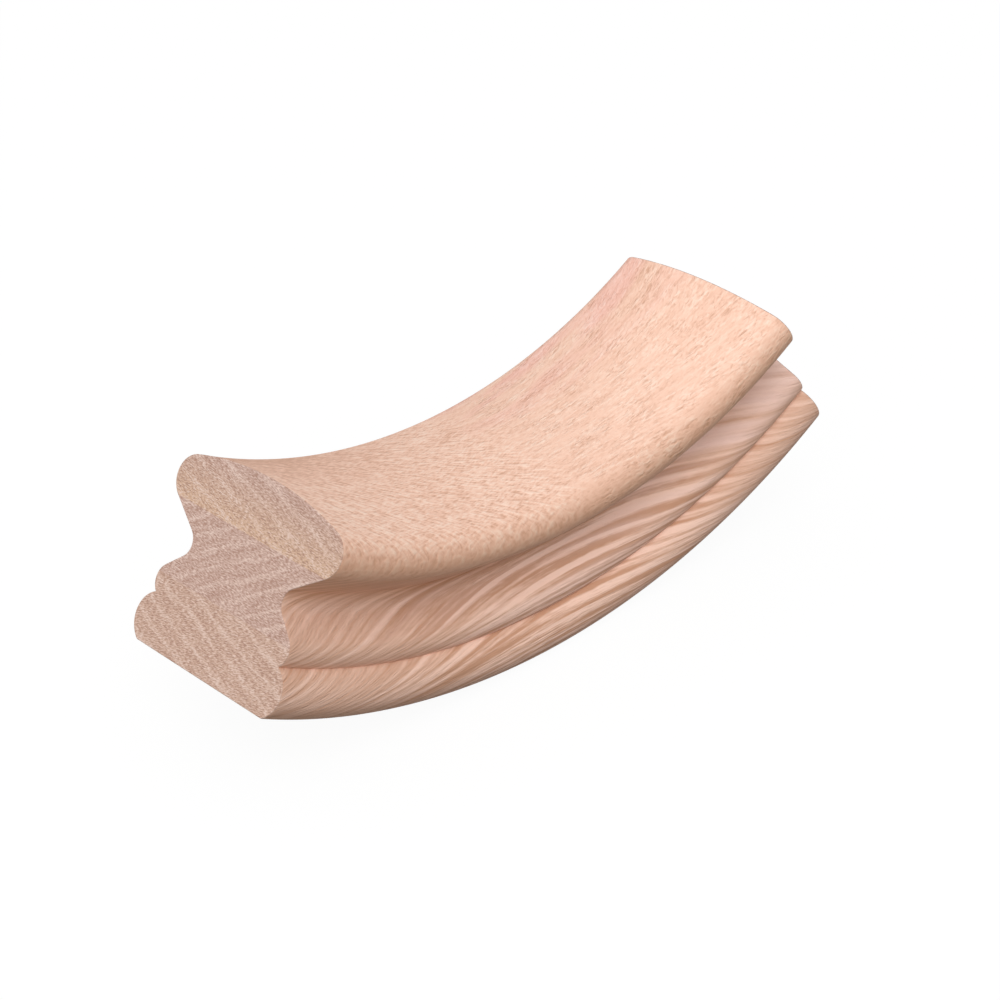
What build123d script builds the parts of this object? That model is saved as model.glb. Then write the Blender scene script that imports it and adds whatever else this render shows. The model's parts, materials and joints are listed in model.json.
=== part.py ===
from build123d import *
from math import atan2, cos, degrees, radians, sin
import os

# A handrail up easing: a short length of moulded timber handrail that is bent upwards in its own
# vertical plane, so that one straight rail flows into another at a steeper slope. The blank is glued
# up from flat oak boards, then sawn to the bend and moulded as one solid piece. Both ends are cut
# square to the rail and butt against the straight rails.
#
# Frame: millimetres, +Z up. X runs along the chord of the bend and Y across the rail. The origin is
# the lowest point of the underside, at the middle of the bend, so the piece rests on its curved
# underside with both ends raised by the same amount.

# The bend
UNDERSIDE_RADIUS = 238.1
SWEEP_ANGLE = 60.0

# The head of the rail, which the palm rests on
HEAD_WIDTH = 69.2
CROWN_RISE = 3.8
TIP_RADIUS = 7.4
HEAD_UNDERSIDE_SLOPE = 35.5

# The cove under the head, which the fingertips curl into
COVE_DEPTH = 8.9
COVE_RADIUS = 4.9
COVE_LOWER_SLOPE = 42.0

# The bead under the cove
BEAD_INSET = 6.1
BEAD_RADIUS = 5.7
BEAD_UNDERCUT_ANGLE = 46.5

# The foot of the rail, between the sharp groove under the bead and the flat underside
FOOT_HEIGHT = 15.1
FOOT_BULGE = 4.4
UNDERSIDE_INSET = 7.4


def direction(angle):
    """The unit vector at an angle, in degrees from the horizontal of the section."""
    return Vector(cos(radians(angle)), sin(radians(angle)))


def arc_about(centre, radius, start_angle, end_angle):
    """An arc of the section about a known centre, between two angles in degrees."""
    return CenterArc(centre, radius, start_angle, end_angle - start_angle)


def rail_section():
    """The rail's section, drawn with its height along Y: right-hand side, then its mirror image."""
    half_head = HEAD_WIDTH / 2
    bead_side = half_head - BEAD_INSET

    # Foot: a shallow bulge from the edge of the flat underside up to the sharp groove
    groove_from_bead = direction(-BEAD_UNDERCUT_ANGLE) * BEAD_RADIUS
    bead_centre = Vector(bead_side - BEAD_RADIUS, FOOT_HEIGHT - groove_from_bead.Y)
    groove = bead_centre + groove_from_bead
    underside_edge = Vector(half_head - UNDERSIDE_INSET, 0)

    # Cove: its lower side runs down to the bead as a tangent of both arcs
    lower_normal_angle = 90 - COVE_LOWER_SLOPE
    lower_normal = direction(lower_normal_angle)
    cove_x = bead_side - COVE_DEPTH + COVE_RADIUS
    lower_reach = bead_centre.dot(lower_normal) + BEAD_RADIUS + COVE_RADIUS
    cove_centre = Vector(cove_x, (lower_reach - cove_x * lower_normal.X) / lower_normal.Y)

    # Head: its underside is a tangent of the cove and of the rounded tip
    head_normal_angle = HEAD_UNDERSIDE_SLOPE - 90
    head_normal = direction(head_normal_angle)
    tip_x = half_head - TIP_RADIUS
    head_reach = cove_centre.dot(head_normal) - COVE_RADIUS - TIP_RADIUS
    tip_centre = Vector(tip_x, (head_reach - tip_x * head_normal.X) / head_normal.Y)

    # Crown: one wide arc over the head that rolls into both tips
    rise_over_tip = TIP_RADIUS + CROWN_RISE
    crown_radius = (tip_x**2 + rise_over_tip**2 - TIP_RADIUS**2) / (2 * CROWN_RISE)
    crown_centre = Vector(0, tip_centre.Y + rise_over_tip - crown_radius)
    crown_end_angle = degrees(atan2(tip_centre.Y - crown_centre.Y, tip_centre.X - crown_centre.X))

    crown = arc_about(crown_centre, crown_radius, 90, crown_end_angle)
    tip = arc_about(tip_centre, TIP_RADIUS, crown_end_angle, head_normal_angle)
    cove = arc_about(cove_centre, COVE_RADIUS, head_normal_angle + 180, lower_normal_angle + 180)
    bead = arc_about(bead_centre, BEAD_RADIUS, lower_normal_angle, -BEAD_UNDERCUT_ANGLE)
    foot = SagittaArc(groove, underside_edge, FOOT_BULGE)
    right_side = Curve() + [crown, tip, Line(tip @ 1, cove @ 0), cove, Line(cove @ 1, bead @ 0), bead, foot]
    underside = Line(underside_edge, (-underside_edge.X, 0))
    outline = right_side + underside + mirror(right_side, about=Plane.YZ)
    return make_face(outline.edges())


def up_easing():
    """The rail section, stood across the bend at one end and swept along the arc to the other."""
    across_the_bend = Plane(origin=(0, 0, 0), x_dir=(0, 1, 0), z_dir=(1, 0, 0))
    bend_axis = Axis((0, 0, UNDERSIDE_RADIUS), (0, -1, 0))
    section_at_middle = across_the_bend * rail_section()
    section_at_end = section_at_middle.rotate(bend_axis, -SWEEP_ANGLE / 2)
    return revolve(section_at_end, axis=bend_axis, revolution_arc=SWEEP_ANGLE)


os.makedirs("parts", exist_ok=True)
export_step(up_easing(), "parts/up_easing.step")
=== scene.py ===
import json
from math import atan2, ceil, cos, radians, sin

import bmesh
import bpy
from bpy.props import FloatProperty, FloatVectorProperty, PointerProperty, StringProperty
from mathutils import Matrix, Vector

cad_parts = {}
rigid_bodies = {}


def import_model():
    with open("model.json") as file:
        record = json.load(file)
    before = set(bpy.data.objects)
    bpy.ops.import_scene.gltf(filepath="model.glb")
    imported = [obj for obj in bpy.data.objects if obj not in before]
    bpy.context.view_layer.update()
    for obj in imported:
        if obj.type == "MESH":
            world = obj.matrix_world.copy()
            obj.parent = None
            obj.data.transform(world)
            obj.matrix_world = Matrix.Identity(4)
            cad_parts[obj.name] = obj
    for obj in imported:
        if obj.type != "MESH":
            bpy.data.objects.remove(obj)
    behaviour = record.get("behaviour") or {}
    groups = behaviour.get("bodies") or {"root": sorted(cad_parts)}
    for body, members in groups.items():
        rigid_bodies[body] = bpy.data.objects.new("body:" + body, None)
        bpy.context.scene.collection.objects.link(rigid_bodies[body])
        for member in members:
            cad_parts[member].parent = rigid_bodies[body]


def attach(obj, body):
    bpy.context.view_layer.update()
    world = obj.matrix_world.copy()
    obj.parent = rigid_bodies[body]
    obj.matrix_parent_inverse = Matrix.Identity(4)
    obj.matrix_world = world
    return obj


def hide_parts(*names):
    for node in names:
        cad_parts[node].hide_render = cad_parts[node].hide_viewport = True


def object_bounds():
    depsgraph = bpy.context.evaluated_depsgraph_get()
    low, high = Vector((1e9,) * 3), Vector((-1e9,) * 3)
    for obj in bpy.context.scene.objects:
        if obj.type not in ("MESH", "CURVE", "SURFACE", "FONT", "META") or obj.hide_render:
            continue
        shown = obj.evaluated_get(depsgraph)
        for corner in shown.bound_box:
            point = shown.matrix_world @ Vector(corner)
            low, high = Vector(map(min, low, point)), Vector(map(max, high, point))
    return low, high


bl_info = {
    "name": "Handrail up easing",
    "version": (1, 0, 0),
    "blender": (4, 5, 0),
    "location": "3D View > Sidebar > Handrail",
    "description": "Builds a moulded red oak handrail up easing and the studio that shows it",
    "category": "Object",
}

# Metres, with X along the chord of the bend, Y across the rail and Z up. The rail's first end is at -X.
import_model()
CAD_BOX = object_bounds()

NODE = "up_easing"
PIECE = "moulded_oak_rail"
MM = 0.001
METRES_TO_MM = 1000.0
SENSOR_WIDTH = 36.0


# Sizes and colours

class RailSizes(bpy.types.PropertyGroup):
    """The bend, the moulded section and the sawn ends"""
    underside_radius: FloatProperty(
        name="Underside radius", description="Radius of the bend, measured to the flat underside",
        default=238.1 * MM, unit="LENGTH", subtype="DISTANCE")
    sweep: FloatProperty(
        name="Sweep", description="Angle that the rail turns through",
        default=radians(60), unit="ROTATION", subtype="ANGLE")
    head_width: FloatProperty(
        name="Head width", description="Width over the rounded tips of the head",
        default=CAD_BOX[1].y - CAD_BOX[0].y, unit="LENGTH", subtype="DISTANCE")
    crown_rise: FloatProperty(
        name="Crown rise", description="How far the crown stands above the tips",
        default=3.8 * MM, unit="LENGTH", subtype="DISTANCE")
    tip_radius: FloatProperty(
        name="Tip radius", description="Radius of the head's rounded tips",
        default=7.4 * MM, unit="LENGTH", subtype="DISTANCE")
    head_slope: FloatProperty(
        name="Slope under the head", description="Slope of the straight side between tip and cove",
        default=radians(35.5), unit="ROTATION", subtype="ANGLE")
    cove_depth: FloatProperty(
        name="Cove depth", description="How far the cove is cut in from the bead's side",
        default=8.9 * MM, unit="LENGTH", subtype="DISTANCE")
    cove_radius: FloatProperty(
        name="Cove radius", description="Radius of the cove that the fingertips curl into",
        default=4.9 * MM, unit="LENGTH", subtype="DISTANCE")
    cove_slope: FloatProperty(
        name="Slope below the cove", description="Slope of the straight side between cove and bead",
        default=radians(42), unit="ROTATION", subtype="ANGLE")
    bead_inset: FloatProperty(
        name="Bead inset", description="How far the bead stands back from the head's tips",
        default=6.1 * MM, unit="LENGTH", subtype="DISTANCE")
    bead_radius: FloatProperty(
        name="Bead radius", description="Radius of the bead",
        default=5.7 * MM, unit="LENGTH", subtype="DISTANCE")
    bead_undercut: FloatProperty(
        name="Bead undercut", description="How far the bead rolls under before it meets the groove",
        default=radians(46.5), unit="ROTATION", subtype="ANGLE")
    foot_height: FloatProperty(
        name="Foot height", description="Height of the sharp groove above the underside",
        default=15.1 * MM, unit="LENGTH", subtype="DISTANCE")
    foot_bulge: FloatProperty(
        name="Foot bulge", description="How far the foot's side bulges from a straight line",
        default=4.4 * MM, unit="LENGTH", subtype="DISTANCE")
    underside_inset: FloatProperty(
        name="Underside inset", description="How far the underside's edges stand back from the head's tips",
        default=7.4 * MM, unit="LENGTH", subtype="DISTANCE")
    arris: FloatProperty(
        name="Arris", description="Width of the softened edge round each sawn end",
        default=0.3 * MM, unit="LENGTH", subtype="DISTANCE")


class OakLook(bpy.types.PropertyGroup):
    """Colours of the bare oak as sRGB hex values, the painted shade in the cove, under the tips and along the
    foot, and the sizes of its boards and grain
    """
    side_dark: StringProperty(
        name="Side, dark lines", description="Orange brown line where a ring's pores are cut",
        default="#CE9C7F")
    side_wood: StringProperty(
        name="Side, wood", description="Main colour of the moulded sides", default="#E4B9A1")
    side_pale: StringProperty(
        name="Side, pale lines", description="Dense pinkish wood between the pores", default="#FAD3BF")
    side_lilac: StringProperty(
        name="Side, lilac bands", description="Cooler heartwood bands along the sides", default="#F7D4C8")
    top_blush: StringProperty(
        name="Top, blush", description="Tints the wood in long pinker patches on the head's top",
        default="#FEF4FA")
    # Painted shade: these three tones darken the wood's colour in the cove, under the tips and along the
    # foot, where shade falls
    cove_painted_shade: StringProperty(
        name="Cove, tone", description="Multiplies the wood's colour in the cove", default="#F3E8DA")
    tip_painted_shade: StringProperty(
        name="Tips, tone", description="Multiplies the wood's colour under the tips", default="#F0E5D8")
    foot_painted_shade: StringProperty(
        name="Foot, tone", description="Multiplies the wood's colour at the underside", default="#D8CBBB")
    top_shade: StringProperty(
        name="Top, shade", description="Darker streaks on the head's top", default="#DBAC92")
    top_wood: StringProperty(
        name="Top, wood", description="Main colour of the head's top", default="#F5C9B2")
    top_pale: StringProperty(
        name="Top, pale", description="Cream coloured wood on the head's top", default="#FEDDC9")
    end_pink: StringProperty(
        name="End, pink", description="Sawn end of the pinker boards", default="#C4A497")
    end_tan: StringProperty(
        name="End, tan", description="Sawn end of the yellower boards", default="#D2AF94")
    end_pale: StringProperty(
        name="End, pale", description="Dense rings on the sawn end", default="#DFC5B8")
    end_dark: StringProperty(
        name="End, dark", description="Open pores on the sawn end", default="#AC8878")
    lowest_seam: FloatProperty(
        name="Lowest glue line", description="Height of the lowest glue line between two boards",
        default=12.0 * MM, unit="LENGTH", subtype="DISTANCE")
    board_thickness: FloatProperty(
        name="Board thickness", description="Thickness of the boards that the blank is glued up from",
        default=19.05 * MM, unit="LENGTH", subtype="DISTANCE")
    ring_wander: FloatProperty(
        name="Ring wander", description="How far a growth ring strays from a flat sheet",
        default=3.0 * MM, unit="LENGTH", subtype="DISTANCE")
    ring_spacing: FloatProperty(
        name="Ring spacing", description="Thickness of one year's growth, seen on the sawn end",
        default=5.2 * MM, unit="LENGTH", subtype="DISTANCE")
    side_ring_spacing: FloatProperty(
        name="Side ring spacing", description="Thickness of one year's growth, seen on the moulded sides",
        default=2.4 * MM, unit="LENGTH", subtype="DISTANCE")
    pore_depth: FloatProperty(
        name="Pore depth", description="Depth of the open pores on the head's top",
        default=0.5 * MM, unit="LENGTH", subtype="DISTANCE")
    saw_depth: FloatProperty(
        name="Saw depth", description="Depth of the open pores on the sawn ends",
        default=0.2 * MM, unit="LENGTH", subtype="DISTANCE")
    near_pore_slant: FloatProperty(
        name="Near pore slant", description="How far each pore on top leans, near the first end",
        default=-0.25)
    near_row_slant: FloatProperty(
        name="Near row slant", description="How far the rows of pores on top lean, near the first end",
        default=0.65)
    far_pore_slant: FloatProperty(
        name="Far pore slant", description="How far the pores on top lean, towards the other end",
        default=-0.12)
    fan_middle: FloatProperty(
        name="Fan middle", description="Where along the top the lines lie closest together",
        default=5.0 * MM, unit="LENGTH", subtype="DISTANCE")
    fan_spread: FloatProperty(
        name="Fan spread", description="How fast the lines on top fan out, for each square millimetre along",
        default=0.00009, precision=6)
    streak_place: FloatProperty(
        name="Streak place", description="Where across the top the brown streak runs",
        default=12.0 * MM, unit="LENGTH", subtype="DISTANCE")
    streak_width: FloatProperty(
        name="Streak width", description="How far the brown streak fades to each side",
        default=5.0 * MM, unit="LENGTH", subtype="DISTANCE")
    streak_depth: FloatProperty(
        name="Streak depth", description="How much darker the brown streak is than the wood beside it",
        default=0.035)


class StudioSettings(bpy.types.PropertyGroup):
    """Floor, lamps and camera"""
    floor_size: FloatProperty(
        name="Floor size", description="Side of the square floor",
        default=8.0, unit="LENGTH", subtype="DISTANCE")
    floor_colour: StringProperty(
        name="Floor colour", description="Paint of the floor, as it lights the rail from below",
        default="#4A4A4A")
    floor_lift: FloatProperty(
        name="Floor lift", description="How far the floor is lifted to white where the camera sees it",
        default=0.94)
    world_strength: FloatProperty(
        name="Room light", description="Even light from all round", default=0.62)
    key_power: FloatProperty(
        name="Key lamp", description="Power of the soft lamp overhead", default=85.0, unit="POWER")
    key_size: FloatProperty(
        name="Key lamp size", description="Side of the soft lamp overhead",
        default=3.0, unit="LENGTH", subtype="DISTANCE")
    key_direction: FloatVectorProperty(
        name="Key direction", description="Direction from the rail to the soft lamp overhead",
        default=(-0.50, -0.50, 0.71), subtype="DIRECTION")
    key_distance: FloatProperty(
        name="Key distance", description="Distance from the rail to the soft lamp overhead",
        default=4.0, unit="LENGTH", subtype="DISTANCE")
    end_power: FloatProperty(
        name="End lamp", description="Power of the soft lamp that faces the sawn end",
        default=6.8, unit="POWER")
    end_size: FloatProperty(
        name="End lamp size", description="Side of the soft lamp that faces the sawn end",
        default=0.8, unit="LENGTH", subtype="DISTANCE")
    end_direction: FloatVectorProperty(
        name="End direction", description="Direction from the rail to the lamp that faces the sawn end",
        default=(-0.97, -0.10, 0.24), subtype="DIRECTION")
    end_distance: FloatProperty(
        name="End distance", description="Distance from the rail to the lamp that faces the sawn end",
        default=2.0, unit="LENGTH", subtype="DISTANCE")
    camera_azimuth: FloatProperty(
        name="Camera azimuth", description="Camera's bearing, from -X towards -Y",
        default=radians(45.1), unit="ROTATION", subtype="ANGLE")
    camera_elevation: FloatProperty(
        name="Camera elevation", description="Camera's height above the horizon",
        default=radians(31.056), unit="ROTATION", subtype="ANGLE")
    camera_distance: FloatProperty(
        name="Camera distance", description="Distance from the camera to the point that it looks at",
        default=767.66 * MM, unit="LENGTH", subtype="DISTANCE")
    camera_target: FloatVectorProperty(
        name="Camera target", description="Point that the camera looks at",
        default=(0.08 * MM, 0.0, 39.08 * MM), unit="LENGTH", subtype="TRANSLATION")
    camera_lens: FloatProperty(
        name="Lens", description="Focal length on a 36 mm sensor, in millimetres", default=90.442)


# The moulded rail

# How finely the rail is modelled
ARC_STEP = radians(4)
LONGEST_EDGE = 1.2 * MM
BEND_STEP = radians(0.5)
ARRIS_SEGMENTS = 3
MERGE_DISTANCE = 0.001 * MM
SMOOTH_ANGLE = radians(30)

# A narrow flat ring inside each softened edge, so that the sawn face takes the light evenly
FLAT_RING = 0.08 * MM

# How squarely a face has to look out of an end to count as sawn
FLATNESS = 0.999

# The sawn ends' place among the rail's materials
SAWN_SLOT = 1


def direction(angle):
    """The unit vector at an angle in the section."""
    return Vector((cos(angle), sin(angle)))


def angle_of(vector):
    """The angle of a vector in the section."""
    return atan2(vector.y, vector.x)


class RailSection:
    """Works out the section's arcs. Every point is (across the rail, height above the underside)."""

    def __init__(self, sizes):
        half_head = sizes.head_width / 2
        bead_side = half_head - sizes.bead_inset

        groove_from_bead = direction(-sizes.bead_undercut) * sizes.bead_radius
        self.bead_centre = Vector((bead_side - sizes.bead_radius, sizes.foot_height - groove_from_bead.y))
        self.groove = self.bead_centre + groove_from_bead
        self.underside_edge = Vector((half_head - sizes.underside_inset, 0))

        self.lower_angle = radians(90) - sizes.cove_slope
        lower_normal = direction(self.lower_angle)
        cove_x = bead_side - sizes.cove_depth + sizes.cove_radius
        reach = self.bead_centre.dot(lower_normal) + sizes.bead_radius + sizes.cove_radius
        self.cove_centre = Vector((cove_x, (reach - cove_x * lower_normal.x) / lower_normal.y))

        self.head_angle = sizes.head_slope - radians(90)
        head_normal = direction(self.head_angle)
        tip_x = half_head - sizes.tip_radius
        reach = self.cove_centre.dot(head_normal) - sizes.cove_radius - sizes.tip_radius
        self.tip_centre = Vector((tip_x, (reach - tip_x * head_normal.x) / head_normal.y))

        rise = sizes.tip_radius + sizes.crown_rise
        self.crown_radius = (tip_x**2 + rise**2 - sizes.tip_radius**2) / (2 * sizes.crown_rise)
        self.crown_centre = Vector((0, self.tip_centre.y + rise - self.crown_radius))
        self.crown_end = angle_of(self.tip_centre - self.crown_centre)
        self.height = self.crown_centre.y + self.crown_radius

        chord = self.underside_edge - self.groove
        self.foot_radius = (chord.length_squared / 4 + sizes.foot_bulge**2) / (2 * sizes.foot_bulge)
        outward = Vector((-chord.y, chord.x)).normalized()
        middle = (self.groove + self.underside_edge) / 2
        self.foot_centre = middle + outward * (sizes.foot_bulge - self.foot_radius)


class SectionPen:
    """Draws the section at the near end of the bend, by spinning and extruding one vertex."""

    def __init__(self, sizes):
        self.bend_radius = sizes.underside_radius
        self.out = direction(-sizes.sweep / 2)
        self.point = None

    def place(self, point):
        """Where a point of the section lies in the rail."""
        radius = self.bend_radius - point.y
        return Vector((radius * self.out.y, point.x, self.bend_radius - radius * self.out.x))

    def start(self, point):
        """Adds a small plane at a point and merges it to the one vertex that draws."""
        bpy.ops.mesh.primitive_plane_add(size=MM, location=self.place(point))
        bpy.ops.object.mode_set(mode="EDIT")
        bpy.ops.mesh.merge(type="CENTER")
        self.point = point

    def line_to(self, point):
        """Extrudes the vertex in a straight line."""
        move = self.place(point) - self.place(self.point)
        bpy.ops.mesh.extrude_region_move(TRANSFORM_OT_translate={"value": move})
        self.point = point

    def arc_to(self, centre, radius, start_angle, end_angle):
        """Spins the vertex about the centre of an arc."""
        turn = end_angle - start_angle
        steps = max(ceil(abs(turn) / ARC_STEP), ceil(abs(turn) * radius / LONGEST_EDGE))
        rail_line = (self.out.x, 0, self.out.y)
        bpy.ops.mesh.spin(steps=steps, angle=-turn, center=self.place(centre), axis=rail_line)
        self.point = centre + direction(end_angle) * radius


def draw_half_section(sizes):
    """Draws one side of the section, from the top of the crown to the middle of the underside."""
    section = RailSection(sizes)
    pen = SectionPen(sizes)
    cove_start = section.head_angle + radians(180)
    cove_end = section.lower_angle + radians(180)
    bead_end = angle_of(section.groove - section.bead_centre)
    foot_start = angle_of(section.groove - section.foot_centre)
    foot_end = angle_of(section.underside_edge - section.foot_centre)
    pen.start(Vector((0, section.height)))
    pen.arc_to(section.crown_centre, section.crown_radius, radians(90), section.crown_end)
    pen.arc_to(section.tip_centre, sizes.tip_radius, section.crown_end, section.head_angle)
    pen.line_to(section.cove_centre + direction(cove_start) * sizes.cove_radius)
    pen.arc_to(section.cove_centre, sizes.cove_radius, cove_start, cove_end)
    pen.line_to(section.bead_centre + direction(section.lower_angle) * sizes.bead_radius)
    pen.arc_to(section.bead_centre, sizes.bead_radius, section.lower_angle, bead_end)
    pen.arc_to(section.foot_centre, section.foot_radius, foot_start, foot_end)
    pen.line_to(Vector((0, 0)))
    bpy.ops.object.mode_set(mode="OBJECT")
    return bpy.context.object


def deselect_all():
    """Clears the selection, so that the next operator acts on nothing else."""
    bpy.ops.object.select_all(action="DESELECT")


def select_sawn_ends(rail, sizes):
    """Selects the two sawn faces by the way that they face, in edit mode."""
    half_sweep = direction(sizes.sweep / 2)
    outwards = [Vector((side * half_sweep.x, 0, half_sweep.y)) for side in (-1, 1)]
    mesh = bmesh.from_edit_mesh(rail.data)
    for face in mesh.faces:
        face.select = any(face.normal.dot(outward) > FLATNESS for outward in outwards)
    mesh.select_flush(False)
    bmesh.update_edit_mesh(rail.data)


def soften_sawn_ends(rail, sizes):
    """Breaks the sharp edge round each sawn end, and keeps the sawn faces flat to the light."""
    bpy.ops.mesh.select_mode(type="FACE")
    bpy.ops.mesh.select_all(action="DESELECT")
    select_sawn_ends(rail, sizes)
    bpy.ops.mesh.region_to_loop()
    bpy.ops.mesh.bevel(offset=sizes.arris, segments=ARRIS_SEGMENTS, affect="EDGES")
    bpy.ops.mesh.select_mode(type="FACE")
    bpy.ops.mesh.select_all(action="DESELECT")
    select_sawn_ends(rail, sizes)
    bpy.ops.mesh.inset(thickness=FLAT_RING)
    bpy.ops.mesh.select_all(action="DESELECT")
    select_sawn_ends(rail, sizes)
    for _ in range(ARRIS_SEGMENTS):
        bpy.ops.mesh.select_more()


class HANDRAIL_OT_moulded_rail(bpy.types.Operator):
    """Model the moulded oak rail along its bend, with its two sawn ends"""
    bl_idname = "handrail.moulded_rail"
    bl_label = "Moulded rail"

    def execute(self, context):
        sizes = context.scene.rail_sizes
        deselect_all()
        rail = draw_half_section(sizes)
        rail.name = PIECE
        bpy.ops.object.transform_apply(location=True, rotation=True, scale=True)
        mirror = rail.modifiers.new("Other side", "MIRROR")
        mirror.use_axis = (False, True, False)
        mirror.merge_threshold = MERGE_DISTANCE
        bpy.ops.object.modifier_apply(modifier=mirror.name)

        bpy.ops.object.mode_set(mode="EDIT")
        bpy.ops.mesh.select_all(action="SELECT")
        bpy.ops.mesh.edge_face_add()
        bpy.ops.mesh.spin(
            steps=round(sizes.sweep / BEND_STEP), angle=sizes.sweep,
            center=(0, 0, sizes.underside_radius), axis=(0, 1, 0))
        bpy.ops.mesh.select_all(action="SELECT")
        bpy.ops.mesh.remove_doubles(threshold=MERGE_DISTANCE)
        bpy.ops.mesh.normals_make_consistent(inside=False)
        soften_sawn_ends(rail, sizes)
        rail.data.materials.append(moulded_oak(context.scene))
        rail.data.materials.append(sawn_oak(context.scene))
        rail.active_material_index = SAWN_SLOT
        bpy.ops.object.material_slot_assign()
        bpy.ops.object.mode_set(mode="OBJECT")
        bpy.ops.object.shade_smooth_by_angle(angle=SMOOTH_ANGLE)

        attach(rail, "root")
        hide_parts(NODE)
        return {"FINISHED"}


# Red oak

# The blank's boards from the lowest up: how far a growth ring rises for each millimetre across the rail,
# how far the pore rows of the sawn end rise likewise, and how yellow the board is.
BOARDS = (
    (0.35, 0.20, 0.3),
    (-0.40, -0.25, 0.1),
    (0.27, -0.18, 0.4),
    (-0.54, 0.02, 0.0),
    (0.25, 0.05, 1.0),
)

# Sizes of the grain in millimetres: along the rail, across it, and up through it or its growth rings. The
# open pores of red oak are about 0.3 mm wide. They are drawn up to about twice as wide, so that they show.
SIDE_LINE = (90, 30, 1.3)
SIDE_BAND = (150, 40, 3.5)
SIDE_STROKE = (5, 2, 0.45)
NEAR_PORE = (2.4, 0.62, 2.0)
NEAR_ROW = (3.5, 1.05, 2.4)
FAR_PORE = (2.4, 0.6, 0.8)
FAR_LINE = (14, 0.6, 0.8)
PORE_PATCH = (9, 5, 6)
TOP_STREAK = (70, 2.4, 9)
TOP_CLOUD = (30, 10, 12)
TOP_BLUSH = (45, 7, 12)
SIDE_WANDER = (120, 40, 12)
END_WANDER = (14, 14, 14)

# The same on the sawn ends: a streak is long across the rail and thin through the rings, and a pore is long
# in its row and thin across it. 1.0 stands for the way in which a pattern doesn't vary.
END_STREAK = (9, 1.0, 1.3)
END_DASH = (1.2, 0.27, 1.0)

# How far a pattern's cells are bent
ROW_WAVINESS = 0.5
PORE_WAVINESS = 1.0
DASH_WAVINESS = 0.3

# Share of each pattern where it is laid over another
SIDE_BAND_SHARE = 0.08
SIDE_STROKE_SHARE = 0.13
SIDE_RING_SHARE = 0.035
NEAR_ROW_SHARE = 0.55
FAR_LINE_SHARE = 0.4
TOP_CLOUD_SHARE = 0.4
END_DASH_SHARE = 0.78
END_RING_SHARE = 0.065

# How far a growth ring rises for each millimetre across the rail, where the sides are cut
SIDE_RING_SLOPE = 0.07

# How much of the rings' wander, and of the pores' depth, the sides show
SIDE_WANDER_SHARE = 0.5
SIDE_RELIEF = 0.6

# Fades. Each starts and ends at a place in millimetres: along the bend from its middle, across the rail or
# up from the underside. Each runs from 0 to 1, unless it names other values.
LINE_CONTRAST = {"From Min": 10, "From Max": 60, "To Min": 2.3, "To Max": 0.72}
LILAC_ABOVE_BEAD = {"From Min": 17, "From Max": 24}
LILAC_ALONG = {"From Min": -100, "From Max": 30}
NEAR_TO_FAR = {"From Min": -10, "From Max": 14}
CALM_TIPS = {"From Min": 48, "From Max": 57, "To Min": 0.45}
STREAK_ALONG = {"From Min": -40, "From Max": 10}
CORNER_ACROSS = {"From Min": -4, "From Max": 26, "To Max": 0.18}
CORNER_ALONG = {"From Min": -20, "From Max": -70}
BLUSH_ACROSS = {"From Min": 0, "From Max": 18}
SIDE_TO_TOP = {"From Min": 41, "From Max": 48}
YELLOW_BELOW = {"From Min": 58, "From Max": 44}

# Ranges of a pattern's own value, stretched so that the pattern shows clearly
NEAR_CLEARER = {"From Min": 0.09, "From Max": 0.91}
FAR_CLEARER = {"From Min": 0.27, "From Max": 0.73}
FAR_PATCHES = {"From Min": 0.35, "From Max": 0.65, "To Min": 0.25, "To Max": 0.6}
LILAC_BANDS = {"From Min": 0.36, "From Max": 0.58, "To Max": 0.75}
BLUSH_PATCHES = {"From Min": 0.42, "From Max": 0.62}
DENSE_RINGS = {"From Min": 0.3, "From Max": 1.0}

# Share of the pores in the tone of the top, near the first end and beyond the middle
PORE_SHARE = {"To Min": 0.88, "To Max": 0.75}

# The middle of a pattern, which is neither a pore nor dense wood
MIDDLE_SHADE = 0.5

# Where a ramp's colours lie: the first and the last, then those between
SIDE_STOPS = (0.37, 0.62, 0.49)
TOP_STOPS = (0.33, 0.63, 0.48)
END_STOPS = (0.37, 0.66, 0.52)
# The painted shade's ramp, as a share of the crown's height: darker along the foot, in the cove and under the
# tips
PAINTED_SHADE_STOPS = (0.0, 0.94, 0.1, 0.5, 0.58, 0.72, 0.80)

# As a tone, white leaves a colour as it is
WHITE = "#FFFFFF"

# Bare wood: the refraction of cellulose, and a weak gloss because the open pores scatter it
OAK_IOR = 1.5
OAK_GLOSS = 0.25
SANDED_ROUGHNESS = 0.65
SAWN_ROUGHNESS = 0.8


def linear(hex_colour):
    """A colour written as sRGB hex, turned linear by the sRGB standard's curve, as a shader takes it."""
    channels = [int(hex_colour[place:place + 2], 16) / 255 for place in (1, 3, 5)]
    return [c / 12.92 if c <= 0.04045 else ((c + 0.055) / 1.055) ** 2.4 for c in channels] + [1]


def add_node(tree, kind, inputs, stops=(), **settings):
    """Adds a node, sets its properties and its ramp's places and colours, and sets or links each input."""
    node = tree.nodes.new("ShaderNode" + kind)
    for name, value in settings.items():
        setattr(node, name, value)
    for place, (position, colour) in enumerate(stops):
        # A new ramp already has two colours
        elements = node.color_ramp.elements
        element = elements[place] if place < 2 else elements.new(position)
        element.position = position
        element.color = linear(colour)
    for name, value in inputs.items():
        own = [socket for socket in node.inputs if socket.enabled and socket.name == name]
        target = own[0] if own else node.inputs[name]
        if isinstance(value, bpy.types.Node):
            value = next(socket for socket in value.outputs if socket.enabled)
        if isinstance(value, bpy.types.NodeSocket):
            tree.links.new(value, target)
        else:
            target.default_value = value
    return node


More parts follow.
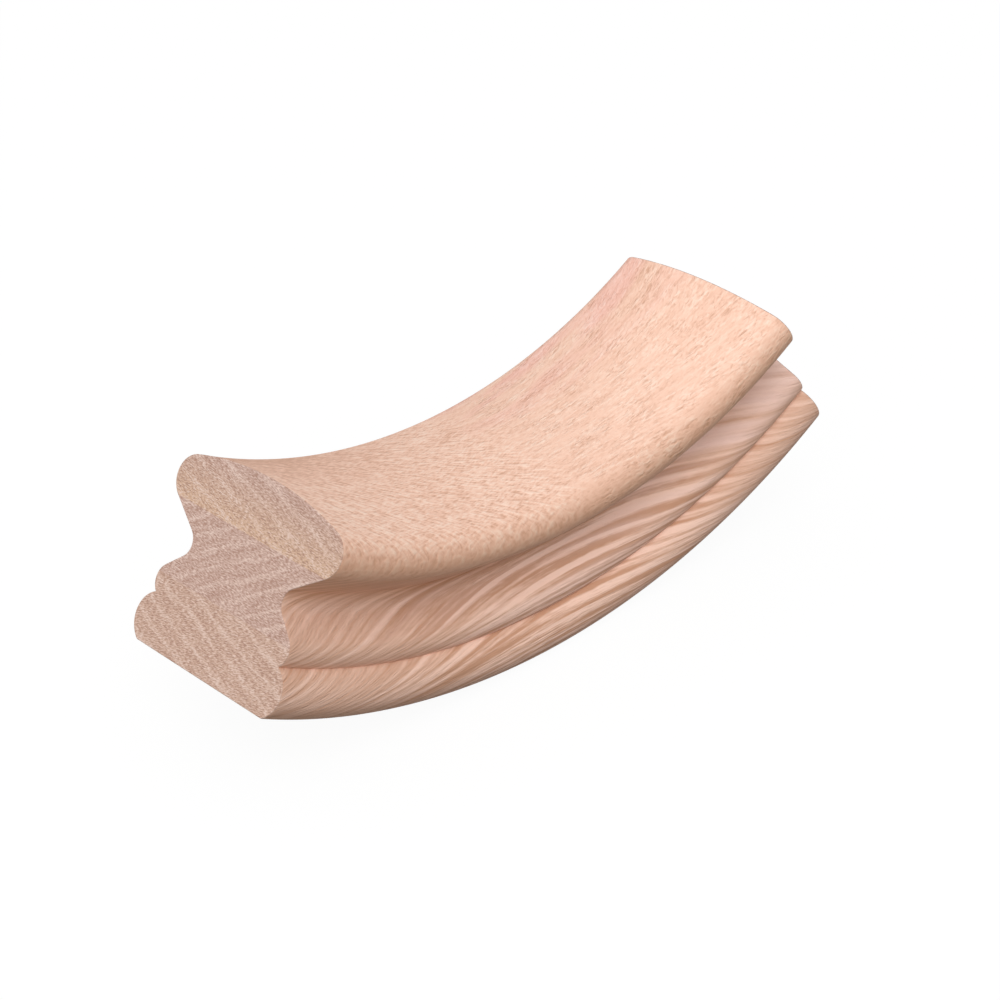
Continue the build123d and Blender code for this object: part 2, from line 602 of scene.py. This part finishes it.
class OakCoordinates:
    """Where a point lies in the boards and along the bend, in millimetres."""

    def __init__(self, tree, sizes, look):
        self.tree = tree
        texture = add_node(tree, "TexCoord", {})
        position = add_node(
            tree, "VectorMath", {0: texture.outputs["Object"], "Scale": METRES_TO_MM}, operation="SCALE")
        self.x, self.y, self.z = add_node(tree, "SeparateXYZ", {0: position}).outputs

        # Along the bend: length of arc under the palm, and height above the underside
        bend_radius = sizes.underside_radius * METRES_TO_MM
        self.crown_height = RailSection(sizes).height * METRES_TO_MM
        below_axis = add_node(tree, "Math", {0: bend_radius, 1: self.z}, operation="SUBTRACT")
        turn = add_node(tree, "Math", {0: self.x, 1: below_axis}, operation="ARCTAN2")
        self.arc = add_node(tree, "Math", {0: turn, 1: bend_radius - self.crown_height}, operation="MULTIPLY")
        from_axis = add_node(tree, "CombineXYZ", {"X": self.x, "Y": below_axis})
        radius = add_node(tree, "VectorMath", {0: from_axis}, operation="LENGTH").outputs["Value"]
        self.height = add_node(tree, "Math", {0: bend_radius, 1: radius}, operation="SUBTRACT")

        # The board that the point is in
        character = BOARDS[0]
        seam = look.lowest_seam
        for board in BOARDS[1:]:
            above = add_node(
                tree, "Math", {0: self.z, 1: seam * METRES_TO_MM}, operation="GREATER_THAN")
            character = add_node(
                tree, "Mix", {"Factor": above, "A": character, "B": board}, data_type="VECTOR")
            seam += look.board_thickness
        self.ring_slope, self.pore_slope, self.yellow = add_node(tree, "SeparateXYZ", {0: character}).outputs

    def grain(self, along, across, through, size, detail=1, waviness=0):
        """Noise that is drawn out along the grain, from a place and a cell size in millimetres."""
        place = add_node(self.tree, "CombineXYZ", {"X": along, "Y": across, "Z": through})
        place = add_node(self.tree, "VectorMath", {0: place, 1: size}, operation="DIVIDE")
        return add_node(self.tree, "TexNoise", {
            "Vector": place, "Scale": 1, "Detail": detail, "Distortion": waviness})

    def lean(self, slant, across=None):
        """Distance across the rail from a line that leans by a slant for each millimetre along it."""
        return add_node(
            self.tree, "Math", {0: self.arc, 1: slant, 2: across or self.y}, operation="MULTIPLY_ADD")

    def rings(self, level, spacing):
        """A wave from -1 to 1 for each year's growth."""
        turn = radians(360) / (spacing * METRES_TO_MM)
        wave = add_node(self.tree, "Math", {0: level, 1: turn}, operation="MULTIPLY")
        return add_node(self.tree, "Math", {0: wave}, operation="SINE")

    def level(self, slope, wander_size, wander):
        """Distance through the growth rings, which rise by a slope across the rail and wander a little."""
        stray = self.grain(self.x, self.y, self.z, wander_size, detail=2)
        rise = add_node(self.tree, "Math", {0: self.y, 1: slope}, operation="MULTIPLY")
        level = add_node(self.tree, "Math", {0: self.z, 1: rise}, operation="SUBTRACT")
        return add_node(
            self.tree, "Math", {0: stray, 1: wander * METRES_TO_MM, 2: level}, operation="MULTIPLY_ADD")

    def fan(self, middle, spread):
        """Distance across the rail, counted by lines that fan out from a middle towards both ends."""
        offset = add_node(self.tree, "Math", {0: self.arc, 1: middle}, operation="SUBTRACT")
        square = add_node(self.tree, "Math", {0: offset, 1: offset}, operation="MULTIPLY")
        wider = add_node(self.tree, "Math", {0: square, 1: spread, 2: 1.0}, operation="MULTIPLY_ADD")
        return add_node(self.tree, "Math", {0: self.y, 1: wider}, operation="DIVIDE")


def new_material(name):
    """An empty material with a node tree."""
    material = bpy.data.materials.new(name)
    material.use_nodes = True
    material.node_tree.nodes.clear()
    return material


def bare_wood(tree, colour, roughness, height, relief):
    """Ends a material in bare wood: a rough surface with the pores sunk into it."""
    bump = add_node(tree, "Bump", {"Strength": 1, "Distance": relief, "Height": height})
    surface = add_node(tree, "BsdfPrincipled", {
        "Base Color": colour, "Roughness": roughness, "IOR": OAK_IOR, "Specular IOR Level": OAK_GLOSS,
        "Normal": bump})
    add_node(tree, "OutputMaterial", {"Surface": surface})


def moulded_side(oak, look):
    """Colour and pore height of the sides, where the growth rings are cut into long straight lines."""
    tree = oak.tree
    level = oak.level(SIDE_RING_SLOPE, SIDE_WANDER, look.ring_wander * SIDE_WANDER_SHARE)
    lines = oak.grain(oak.x, oak.y, level, SIDE_LINE, detail=2)
    bands = oak.grain(oak.x, oak.y, level, SIDE_BAND)
    strokes = oak.grain(oak.x, oak.y, level, SIDE_STROKE)
    rings = oak.rings(level, look.side_ring_spacing)
    shade = add_node(tree, "Mix", {"Factor": SIDE_BAND_SHARE, "A": lines, "B": bands}, data_type="FLOAT")
    shade = add_node(tree, "Mix", {"Factor": SIDE_STROKE_SHARE, "A": shade, "B": strokes}, data_type="FLOAT")
    shade = add_node(tree, "Math", {0: rings, 1: SIDE_RING_SHARE, 2: shade}, operation="MULTIPLY_ADD")

    # The lines show most at the middle of the bend, where the cut runs along them
    from_middle = add_node(tree, "Math", {0: oak.arc}, operation="ABSOLUTE")
    contrast = add_node(tree, "MapRange", {"Value": from_middle, **LINE_CONTRAST})
    shade = add_node(tree, "Math", {0: shade, 1: MIDDLE_SHADE}, operation="SUBTRACT")
    shade = add_node(tree, "Math", {0: shade, 1: contrast, 2: MIDDLE_SHADE}, operation="MULTIPLY_ADD")
    colour = add_node(tree, "ValToRGB", {"Fac": shade}, stops=zip(
        SIDE_STOPS, (look.side_dark, look.side_pale, look.side_wood)))

    # Cooler bands above the bead, fewer towards the first end
    lilac = add_node(tree, "MapRange", {"Value": bands, **LILAC_BANDS})
    for place, fade in ((oak.height, LILAC_ABOVE_BEAD), (oak.arc, LILAC_ALONG)):
        share = add_node(tree, "MapRange", {"Value": place, **fade})
        lilac = add_node(tree, "Math", {0: lilac, 1: share}, operation="MULTIPLY")
    colour = add_node(tree, "Mix", {
        "Factor": lilac, "A": colour, "B": linear(look.side_lilac)}, data_type="RGBA")
    pores = add_node(tree, "Math", {0: strokes, 1: SIDE_RELIEF}, operation="MULTIPLY")
    return colour, pores


def draw_top_pores(oak, look, fan, at_far):
    """Pore height on the head's top: short wavy pores near the first end, finer ones along the lines."""
    tree = oak.tree
    pores = oak.grain(oak.arc, oak.lean(look.near_pore_slant), oak.height, NEAR_PORE)
    rows = oak.grain(oak.arc, oak.lean(look.near_row_slant), oak.height, NEAR_ROW, waviness=ROW_WAVINESS)
    near = add_node(tree, "Mix", {"Factor": NEAR_ROW_SHARE, "A": pores, "B": rows}, data_type="FLOAT")
    near = add_node(tree, "MapRange", {"Value": near, **NEAR_CLEARER})

    far_across = oak.lean(look.far_pore_slant, fan)
    pores = oak.grain(oak.arc, far_across, oak.height, FAR_PORE, waviness=PORE_WAVINESS)
    fine_lines = oak.grain(oak.arc, fan, oak.height, FAR_LINE)
    far = add_node(tree, "Mix", {"Factor": FAR_LINE_SHARE, "A": pores, "B": fine_lines}, data_type="FLOAT")
    far = add_node(tree, "MapRange", {"Value": far, **FAR_CLEARER})
    patches = oak.grain(oak.arc, oak.y, oak.height, PORE_PATCH)
    patches = add_node(tree, "MapRange", {"Value": patches, **FAR_PATCHES})
    far = add_node(tree, "Mix", {"Factor": patches, "A": MIDDLE_SHADE, "B": far}, data_type="FLOAT")
    pores = add_node(tree, "Mix", {"Factor": at_far, "A": near, "B": far}, data_type="FLOAT")

    # Calmer on the near part's rounded tips
    calm = add_node(tree, "MapRange", {"Value": oak.height, **CALM_TIPS})
    calm = add_node(tree, "Math", {0: calm, 1: at_far}, operation="MAXIMUM")
    return add_node(tree, "Mix", {"Factor": calm, "A": MIDDLE_SHADE, "B": pores}, data_type="FLOAT")


def head_top(oak, look):
    """Colour and pore height of the head's top: pores and fanned lines over clouds of cream and pink."""
    tree = oak.tree
    fan = oak.fan(look.fan_middle * METRES_TO_MM, look.fan_spread)
    at_far = add_node(tree, "MapRange", {"Value": oak.arc, **NEAR_TO_FAR}, interpolation_type="SMOOTHSTEP")
    pores = draw_top_pores(oak, look, fan, at_far)
    streaks = oak.grain(oak.arc, fan, oak.height, TOP_STREAK, detail=3)
    clouds = oak.grain(oak.arc, oak.y, oak.height, TOP_CLOUD, detail=2)
    shade = add_node(tree, "Mix", {"Factor": TOP_CLOUD_SHARE, "A": streaks, "B": clouds}, data_type="FLOAT")
    pore_share = add_node(tree, "MapRange", {"Value": at_far, **PORE_SHARE})
    shade = add_node(tree, "Mix", {"Factor": pore_share, "A": shade, "B": pores}, data_type="FLOAT")

    # One brown streak beside the middle, which fades away towards the first end
    from_streak = add_node(tree, "Math", {0: fan, 1: look.streak_place * METRES_TO_MM}, operation="SUBTRACT")
    from_streak = add_node(tree, "Math", {0: from_streak}, operation="ABSOLUTE")
    streak = add_node(tree, "MapRange", {
        "Value": from_streak, "From Min": look.streak_width * METRES_TO_MM, "From Max": 0,
        "To Max": look.streak_depth}, interpolation_type="SMOOTHSTEP")
    share = add_node(tree, "MapRange", {"Value": oak.arc, **STREAK_ALONG}, interpolation_type="SMOOTHSTEP")
    streak = add_node(tree, "Math", {0: streak, 1: share}, operation="MULTIPLY")
    shade = add_node(tree, "Math", {0: shade, 1: streak}, operation="SUBTRACT")

    # Darker in the first end's far corner
    corner = add_node(tree, "MapRange", {"Value": oak.y, **CORNER_ACROSS})
    share = add_node(tree, "MapRange", {"Value": oak.arc, **CORNER_ALONG})
    corner = add_node(tree, "Math", {0: corner, 1: share}, operation="MULTIPLY")
    shade = add_node(tree, "Math", {0: shade, 1: corner}, operation="SUBTRACT")
    colour = add_node(tree, "ValToRGB", {"Fac": shade}, stops=zip(
        TOP_STOPS, (look.top_shade, look.top_pale, look.top_wood)))

    # Pinker wood in long patches, beyond the middle and on the far side
    blush = add_node(tree, "MapRange", {
        "Value": oak.grain(oak.arc, fan, oak.height, TOP_BLUSH), **BLUSH_PATCHES})
    share = add_node(tree, "MapRange", {"Value": oak.y, **BLUSH_ACROSS})
    blush = add_node(tree, "Math", {0: blush, 1: share}, operation="MULTIPLY")
    blush = add_node(tree, "Math", {0: blush, 1: at_far}, operation="MULTIPLY")
    colour = add_node(tree, "Mix", {
        "Factor": blush, "A": colour, "B": linear(look.top_blush)}, data_type="RGBA", blend_type="MULTIPLY")
    return colour, pores


def moulded_oak(scene):
    """Red oak, moulded and sanded bare. It gives the eye dry, matt wood: orange lines and lilac bands that
    run straight through the bent sides, and a paler top that is cut across them and shows short pores."""
    look = scene.oak_look
    material = new_material("red_oak_moulded_and_sanded")
    tree = material.node_tree
    oak = OakCoordinates(tree, scene.rail_sizes, look)
    side, side_pores = moulded_side(oak, look)
    top, top_pores = head_top(oak, look)
    on_top = add_node(tree, "MapRange", {"Value": oak.height, **SIDE_TO_TOP}, interpolation_type="SMOOTHSTEP")
    colour = add_node(tree, "Mix", {"Factor": on_top, "A": side, "B": top}, data_type="RGBA")
    height = add_node(tree, "Mix", {"Factor": on_top, "A": side_pores, "B": top_pores}, data_type="FLOAT")

    # Painted shade: the colour is darkened under the head, in the cove and along the foot, where shade falls
    way_up = add_node(tree, "Math", {0: oak.height, 1: oak.crown_height}, operation="DIVIDE")
    tone = add_node(tree, "ValToRGB", {"Fac": way_up}, stops=zip(PAINTED_SHADE_STOPS, (
        look.foot_painted_shade, WHITE, WHITE, WHITE, look.cove_painted_shade, look.cove_painted_shade, look.tip_painted_shade)))
    colour = add_node(tree, "Mix", {
        "Factor": 1, "A": colour, "B": tone}, data_type="RGBA", blend_type="MULTIPLY")
    bare_wood(tree, colour, SANDED_ROUGHNESS, height, look.pore_depth)
    return material


def sawn_oak(scene):
    """Red oak, sawn across the grain. It gives the eye rough grey pink wood: pale growth rings, rows of
    short dark pores, and the glued boards, each with rings of its own slope."""
    look = scene.oak_look
    material = new_material("red_oak_sawn_end")
    tree = material.node_tree
    oak = OakCoordinates(tree, scene.rail_sizes, look)

    # Growth rings, each with a narrow pale band where the wood is dense
    level = oak.level(oak.ring_slope, END_WANDER, look.ring_wander)
    rings = oak.rings(level, look.ring_spacing)
    rings = add_node(tree, "MapRange", {"Value": rings, **DENSE_RINGS}, interpolation_type="SMOOTHSTEP")
    streaks = oak.grain(oak.y, 0.0, level, END_STREAK)

    # Pores as short dashes, in rows of their own slope
    rise = add_node(tree, "Math", {0: oak.y, 1: oak.pore_slope}, operation="MULTIPLY")
    row = add_node(tree, "Math", {0: oak.z, 1: rise}, operation="SUBTRACT")
    dashes = oak.grain(oak.y, row, 0.0, END_DASH, waviness=DASH_WAVINESS)
    shade = add_node(tree, "Mix", {"Factor": END_DASH_SHARE, "A": streaks, "B": dashes}, data_type="FLOAT")
    shade = add_node(tree, "Math", {0: rings, 1: END_RING_SHARE, 2: shade}, operation="MULTIPLY_ADD")

    # The yellow board is yellowest low down, beside its glue line
    pink, tan = [
        add_node(tree, "ValToRGB", {"Fac": shade}, stops=zip(END_STOPS, (look.end_dark, look.end_pale, wood)))
        for wood in (look.end_pink, look.end_tan)]
    low = add_node(tree, "MapRange", {"Value": oak.height, **YELLOW_BELOW})
    share = add_node(tree, "Math", {0: low, 1: oak.yellow}, operation="MULTIPLY")
    colour = add_node(tree, "Mix", {"Factor": share, "A": pink, "B": tan}, data_type="RGBA")
    bare_wood(tree, colour, SAWN_ROUGHNESS, dashes, look.saw_depth)
    return material


# Floor, lamps and camera

class HANDRAIL_OT_studio(bpy.types.Operator):
    """Set up the pale floor, the soft light and the camera"""
    bl_idname = "handrail.studio"
    bl_label = "Studio"

    def execute(self, context):
        studio = context.scene.studio
        add_floor(studio)
        add_room_light(context.scene, studio)
        for part in ("key", "end"):
            add_soft_lamp(studio, part)
        add_camera(context.scene, studio)
        context.scene.view_settings.view_transform = "Standard"
        return {"FINISHED"}


def seen_directly(tree):
    """1 for what the camera sees by itself or in a gloss or a glass, and 0 for light on the object."""
    path = add_node(tree, "LightPath", {})
    share = path.outputs["Is Camera Ray"]
    for ray in ("Is Glossy Ray", "Is Transmission Ray"):
        share = add_node(tree, "Math", {0: share, 1: path.outputs[ray]}, operation="MAXIMUM")
    return share


def add_floor(studio):
    """A pale painted floor that shows white and keeps the rail's shadow."""
    deselect_all()
    bpy.ops.mesh.primitive_plane_add(size=studio.floor_size, location=(0, 0, 0))
    floor = bpy.context.object
    floor.name = "studio_floor"
    material = new_material("pale_matt_paint")
    tree = material.node_tree
    paint = add_node(tree, "BsdfDiffuse", {"Color": linear(studio.floor_colour)})
    lift = add_node(tree, "Emission", {"Color": linear(WHITE), "Strength": studio.floor_lift})
    both = add_node(tree, "AddShader", {0: paint, 1: lift})
    seen = add_node(tree, "MixShader", {0: seen_directly(tree), 1: paint, 2: both})
    add_node(tree, "OutputMaterial", {"Surface": seen})
    floor.data.materials.append(material)


def add_room_light(scene, studio):
    """Even white light from all round, and a white background."""
    scene.world = bpy.data.worlds.new("white_room")
    scene.world.use_nodes = True
    tree = scene.world.node_tree
    tree.nodes.clear()
    light = add_node(tree, "Background", {"Color": linear(WHITE), "Strength": studio.world_strength})
    white = add_node(tree, "Background", {"Color": linear(WHITE), "Strength": 1})
    seen = add_node(tree, "MixShader", {0: seen_directly(tree), 1: light, 2: white})
    add_node(tree, "OutputWorld", {"Surface": seen})


def add_soft_lamp(studio, part):
    """A large square lamp that faces the rail, from the settings that start with its part in the studio."""
    direction_to, distance, size, power = [
        getattr(studio, part + "_" + setting) for setting in ("direction", "distance", "size", "power")]
    towards = Vector(direction_to).normalized()
    bpy.ops.object.light_add(
        type="AREA", location=towards * distance, rotation=towards.to_track_quat("Z", "Y").to_euler())
    lamp = bpy.context.object
    lamp.name = "soft_" + part + "_lamp"
    lamp.data.size = size
    lamp.data.energy = power


def add_camera(scene, studio):
    """The camera at the photograph's angle, distance and lens."""
    level = cos(studio.camera_elevation)
    back = Vector((
        -cos(studio.camera_azimuth) * level,
        -sin(studio.camera_azimuth) * level,
        sin(studio.camera_elevation)))
    place = Vector(studio.camera_target) + back * studio.camera_distance
    bpy.ops.object.camera_add(location=place, rotation=back.to_track_quat("Z", "Y").to_euler())
    camera = bpy.context.object
    camera.name = "studio_camera"
    camera.data.sensor_width = SENSOR_WIDTH
    camera.data.lens = studio.camera_lens
    scene.camera = camera


# Panel and registration

class HANDRAIL_PT_tools(bpy.types.Panel):
    """The steps that build the handrail easing"""
    bl_idname = "HANDRAIL_PT_tools"
    bl_label = "Handrail up easing"
    bl_space_type = "VIEW_3D"
    bl_region_type = "UI"
    bl_category = "Handrail"

    def draw(self, context):
        for operator in OPERATORS:
            self.layout.operator(operator.bl_idname)
        for name, group in GROUPS.items():
            box = self.layout.box()
            settings = getattr(context.scene, name)
            for setting in group.__annotations__:
                box.prop(settings, setting)


GROUPS = {"rail_sizes": RailSizes, "oak_look": OakLook, "studio": StudioSettings}
OPERATORS = (HANDRAIL_OT_moulded_rail, HANDRAIL_OT_studio)
CLASSES = (*GROUPS.values(), *OPERATORS, HANDRAIL_PT_tools)


def register():
    for cls in CLASSES:
        bpy.utils.register_class(cls)
    for name, group in GROUPS.items():
        setattr(bpy.types.Scene, name, PointerProperty(type=group))


def unregister():
    for name in GROUPS:
        delattr(bpy.types.Scene, name)
    for cls in reversed(CLASSES):
        bpy.utils.unregister_class(cls)


def main():
    register()
    bpy.ops.handrail.moulded_rail()
    bpy.ops.handrail.studio()


if __name__ == "__main__":
    main()
